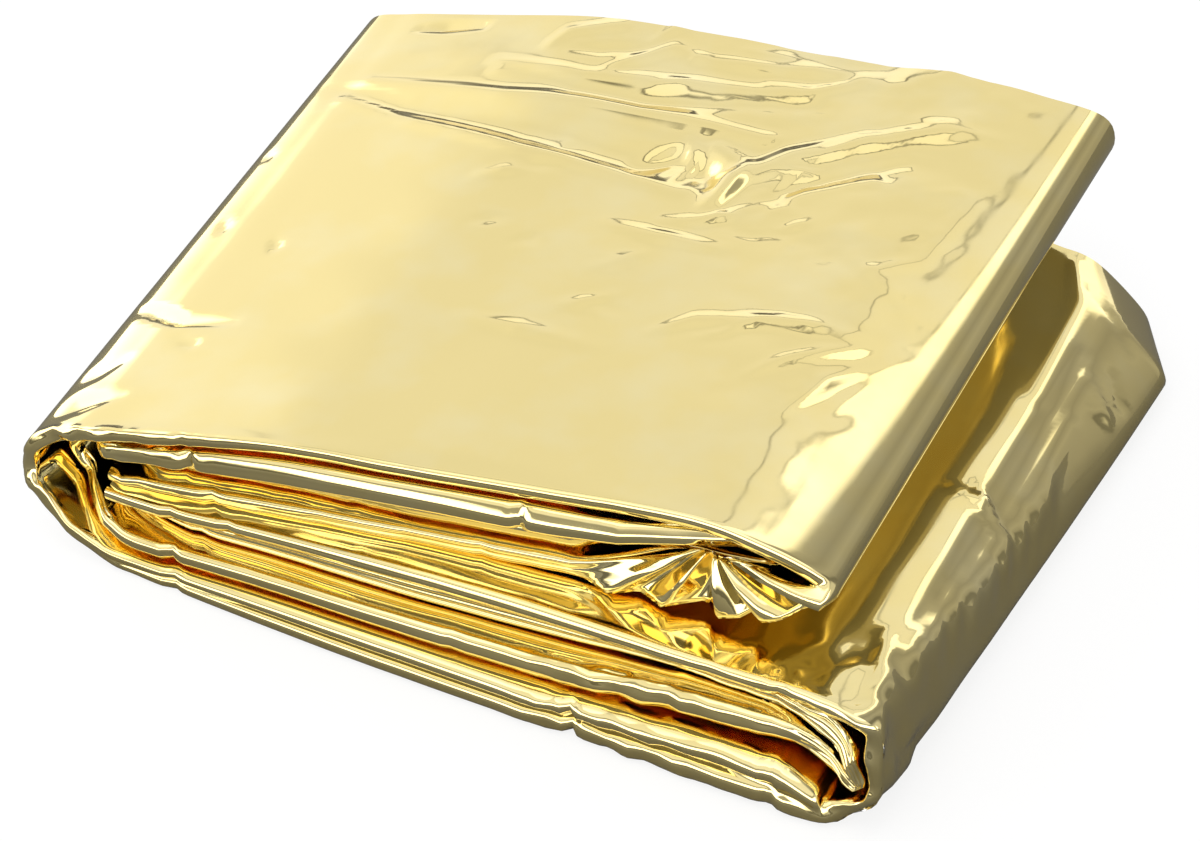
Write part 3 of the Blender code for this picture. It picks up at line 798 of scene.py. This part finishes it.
# The studio: paper that the camera sees evenly pale, a white tent and the camera.
studio = {
    "target": (-2.10, 0.14, 0.0),   # mm
    "azimuth": radians(26.6),
    "elevation": radians(38.2),
    "distance": 0.701,
    "lens": 165,
    # the paper's own dark grey is painted shade: the film mirrors it as the floor in shade under the
    # blanket, while its glow shows it evenly pale to the camera alone
    "paper": (0.16, 0.16, 0.16, 1),
    "paperGlow": 0.83,              # seen by the camera alone
    "surround": 1.0,
    "bounces": (24, 20),            # in all, and off the film
    # the tent's white panels and the dark seams between them: how high up (or how far
    # to the right), how bright, and for the sides how much they cover the rest
    "behind": ((-1, 0.15, 1), (0.07, 0.16, 1), (0.11, 1.25, 1), (0.29, 1.15, 1), (0.302, 0.28, 1),
               (0.314, 0.28, 1), (0.325, 0.98, 1), (0.60, 0.92, 1), (0.80, 0.96, 1),
               (0.812, 0.28, 1), (0.823, 0.28, 1), (0.836, 1.18, 1), (1, 1.18, 1)),
    "infront": ((-1, 0.15, 1), (0.12, 0.16, 1), (0.17, 1.0, 1), (0.22, 3.2, 1), (0.46, 3.0, 1),
                (0.50, 0.45, 1), (0.62, 0.4, 1), (0.68, 1.1, 1), (0.85, 1.0, 1), (0.87, 2.2, 1),
                (1, 1.3, 1)),
    "sideways": ((-1, 2.6, 1), (-0.76, 2.6, 1), (-0.70, 1.15, 1), (-0.62, 1.08, 1),
                 (-0.52, 0.95, 0), (-0.17, 0.38, 0), (-0.165, 0.38, 1), (-0.15, 0.97, 1),
                 (-0.03, 1.0, 1), (-0.02, 0.4, 1), (-0.01, 1.7, 1), (0.09, 1.6, 1), (0.15, 0.46, 1),
                 (0.30, 0.34, 1), (0.48, 0.44, 1), (0.60, 0.36, 1), (0.66, 0.20, 1),
                 (0.75, 0.22, 1), (0.85, 0.7, 1), (1, 0.7, 1)),
}


def direction(azimuth, elevation):
    return Vector((sin(azimuth) * cos(elevation), -cos(azimuth) * cos(elevation), sin(elevation)))


def buildFloor():
    bm = bmesh.new()
    bmesh.ops.create_grid(bm, x_segments=1, y_segments=1, size=3)
    mesh = bpy.data.meshes.new("floor")
    bm.to_mesh(mesh)
    bm.free()
    floor = bpy.data.objects.new("floor", mesh)
    bpy.context.scene.collection.objects.link(floor)
    material = bpy.data.materials.new("paperShadeAndGlow")
    material.use_nodes = True
    shader = material.node_tree.nodes["Principled BSDF"]
    # dark grey: painted shade that the film mirrors, the floor in shade under the blanket
    shader.inputs["Base Color"].default_value = studio["paper"]
    shader.inputs["Roughness"].default_value = 0.7
    shader.inputs["Specular IOR Level"].default_value = 0.2
    shader.inputs["Emission Color"].default_value = (1, 1, 1, 1)
    # a glow that only camera rays see, so the camera sees the dark paper evenly pale
    seen = material.node_tree.nodes.new("ShaderNodeLightPath")
    glow = material.node_tree.nodes.new("ShaderNodeMath")
    glow.operation = "MULTIPLY"
    glow.inputs[1].default_value = studio["paperGlow"]
    material.node_tree.links.new(seen.outputs["Is Camera Ray"], glow.inputs[0])
    material.node_tree.links.new(glow.outputs["Value"], shader.inputs["Emission Strength"])
    mesh.materials.append(material)


def lightStudio():
    # a tent of white panels with dark seams, as the film mirrors it
    world = bpy.data.worlds.new("tent")
    world.use_nodes = True
    nodes, links = world.node_tree.nodes, world.node_tree.links
    look = nodes.new("ShaderNodeTexCoord")
    parts = nodes.new("ShaderNodeSeparateXYZ")
    links.new(look.outputs["Generated"], parts.inputs[0])
    level = {}
    for name, across in (("behind", "Z"), ("infront", "Z"), ("sideways", "X")):
        ramp = nodes.new("ShaderNodeValToRGB")
        ramp.label = name
        stops = studio[name]
        while len(ramp.color_ramp.elements) < len(stops):
            ramp.color_ramp.elements.new(0.5)
        for element, (at, value, covers) in zip(ramp.color_ramp.elements, stops):
            element.position = (at + 1) / 2
            element.color = (value, value, value, covers)
        spread = nodes.new("ShaderNodeMapRange")
        spread.inputs["From Min"].default_value = -1
        links.new(parts.outputs[across], spread.inputs["Value"])
        links.new(spread.outputs["Result"], ramp.inputs[0])
        level[name] = ramp
    side = nodes.new("ShaderNodeMapRange")
    side.inputs["From Min"].default_value = -0.12
    side.inputs["From Max"].default_value = 0.02
    links.new(parts.outputs["Y"], side.inputs["Value"])
    blend = nodes.new("ShaderNodeMix")
    blend.data_type = "RGBA"
    links.new(side.outputs["Result"], blend.inputs["Factor"])
    sides = nodes.new("ShaderNodeMix")
    sides.data_type = "RGBA"
    links.new(level["sideways"].outputs["Alpha"], sides.inputs["Factor"])
    links.new(level["behind"].outputs["Color"], sides.inputs["A"])
    links.new(level["sideways"].outputs["Color"], sides.inputs["B"])
    links.new(level["infront"].outputs["Color"], blend.inputs["A"])
    links.new(sides.outputs["Result"], blend.inputs["B"])
    background = nodes["Background"]
    links.new(blend.outputs["Result"], background.inputs["Color"])
    background.inputs["Strength"].default_value = studio["surround"]
    bpy.context.scene.world = world
    # light between the folds is mirrored many times before it comes out
    bounces, filmBounces = studio["bounces"]
    bpy.context.scene.cycles.max_bounces = bounces
    bpy.context.scene.cycles.glossy_bounces = filmBounces
    bpy.context.scene.view_settings.view_transform = "Standard"


def aimCamera():
    camera = bpy.data.objects.new("camera", bpy.data.cameras.new("camera"))
    camera.data.sensor_width = 36
    camera.data.lens = studio["lens"]
    camera.data.clip_start = 0.01
    target = Vector(studio["target"]) * mm
    back = direction(studio["azimuth"], studio["elevation"])
    camera.location = target + back * studio["distance"]
    camera.rotation_euler = (-back).to_track_quat("-Z", "Y").to_euler()
    bpy.context.scene.collection.objects.link(camera)
    bpy.context.scene.camera = camera


piece = buildBlanket()
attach(piece, "root")
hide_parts("blanket")
print("blanket made")

buildFloor()
lightStudio()
aimCamera()
print("studio ready")
